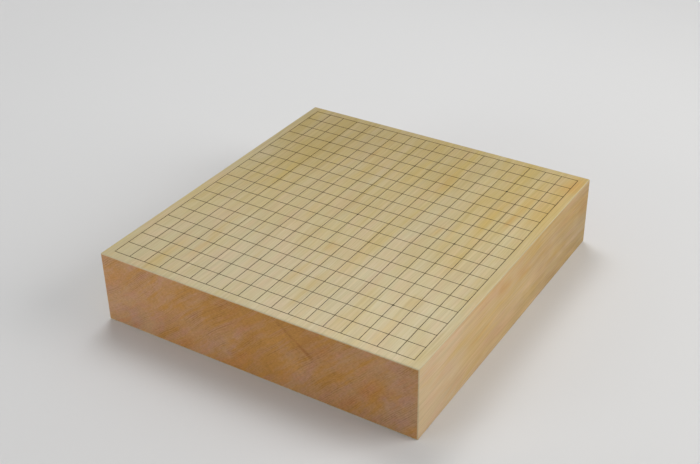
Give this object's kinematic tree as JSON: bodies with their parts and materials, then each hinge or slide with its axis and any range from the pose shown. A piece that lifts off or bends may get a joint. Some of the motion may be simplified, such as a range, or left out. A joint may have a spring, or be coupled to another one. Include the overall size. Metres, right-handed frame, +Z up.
{
  "type": "table-top go board",
  "caption": "Solid one-piece wooden go board for table-top play, with a raised lacquer playing grid and star points; flat underside, eased edges.",
  "frame": {"origin": "middle of the flat underside", "axes": "+X from the player's left to right, +Y along the grain from the player to the opponent, +Z up"},
  "size_m": [0.42, 0.45, 0.0933],
  "materials": {
    "solid_wood": "waxed, satin",
    "lacquer": "dark lacquer, satin"
  },
  "bodies": {
    "root": {"board_block": "solid_wood", "column_line_a": "lacquer", "column_line_b": "lacquer", "column_line_c": "lacquer", "column_line_d": "lacquer", "column_line_e": "lacquer", "column_line_f": "lacquer", "column_line_g": "lacquer", "column_line_h": "lacquer", "column_line_j": "lacquer", "column_line_k": "lacquer", "column_line_l": "lacquer", "column_line_m": "lacquer", "column_line_n": "lacquer", "column_line_o": "lacquer", "column_line_p": "lacquer", "column_line_q": "lacquer", "column_line_r": "lacquer", "column_line_s": "lacquer", "column_line_t": "lacquer", "row_line_01": "lacquer", "row_line_02": "lacquer", "row_line_03": "lacquer", "row_line_04": "lacquer", "row_line_05": "lacquer", "row_line_06": "lacquer", "row_line_07": "lacquer", "row_line_08": "lacquer", "row_line_09": "lacquer", "row_line_10": "lacquer", "row_line_11": "lacquer", "row_line_12": "lacquer", "row_line_13": "lacquer", "row_line_14": "lacquer", "row_line_15": "lacquer", "row_line_16": "lacquer", "row_line_17": "lacquer", "row_line_18": "lacquer", "row_line_19": "lacquer", "star_point_d4": "lacquer", "star_point_k4": "lacquer", "star_point_q4": "lacquer", "star_point_d10": "lacquer", "star_point_k10": "lacquer", "star_point_q10": "lacquer", "star_point_d16": "lacquer", "star_point_k16": "lacquer", "star_point_q16": "lacquer"}
  },
  "joints": []
}
